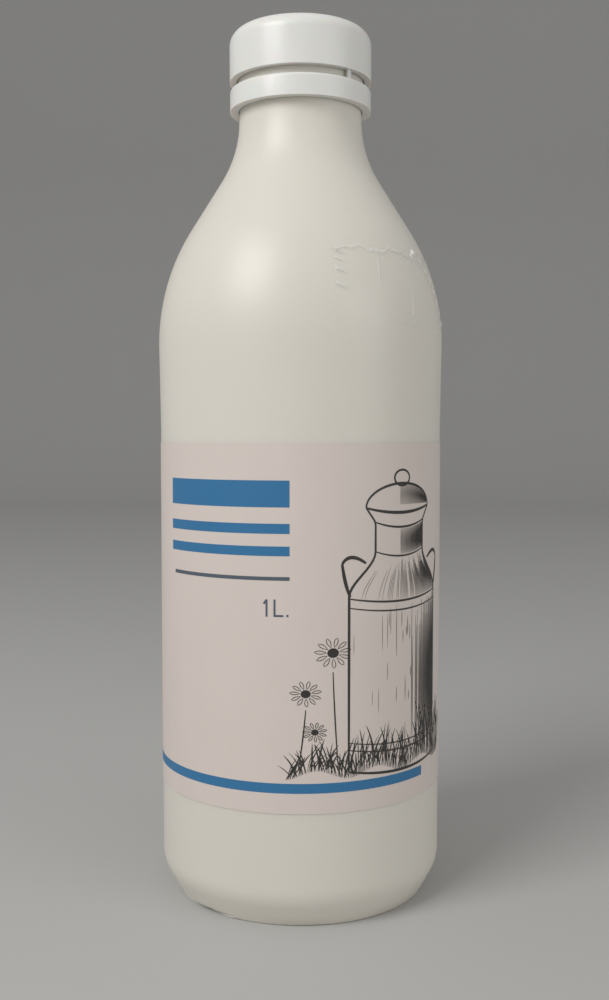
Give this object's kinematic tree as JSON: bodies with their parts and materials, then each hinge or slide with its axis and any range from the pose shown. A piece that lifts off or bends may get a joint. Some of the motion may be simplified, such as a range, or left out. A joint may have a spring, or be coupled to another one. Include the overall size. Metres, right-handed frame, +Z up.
{
  "type": "milk bottle",
  "caption": "Full round plastic milk bottle with sloping shoulder, short neck, screw cap with tamper band, wrap-round paper-thin label and a clear film patch.",
  "frame": {"origin": "middle of the foot ring, at the height of the surface the bottle stands on", "axes": "+Z up along the bottle's axis to the cap; the front of the label faces -Y; +X is to its right"},
  "size_m": [0.0843, 0.0842, 0.2549],
  "materials": {
    "bottle": "satin, slightly translucent blow-moulded polyethylene",
    "closure": "smooth injection-moulded white plastic",
    "label": "satin printed film label",
    "film": "clear glossy film"
  },
  "bodies": {
    "root": {"bottle": "bottle", "tamper_band": "closure", "cap": "closure", "label": "label", "film_patch": "film"}
  },
  "joints": []
}
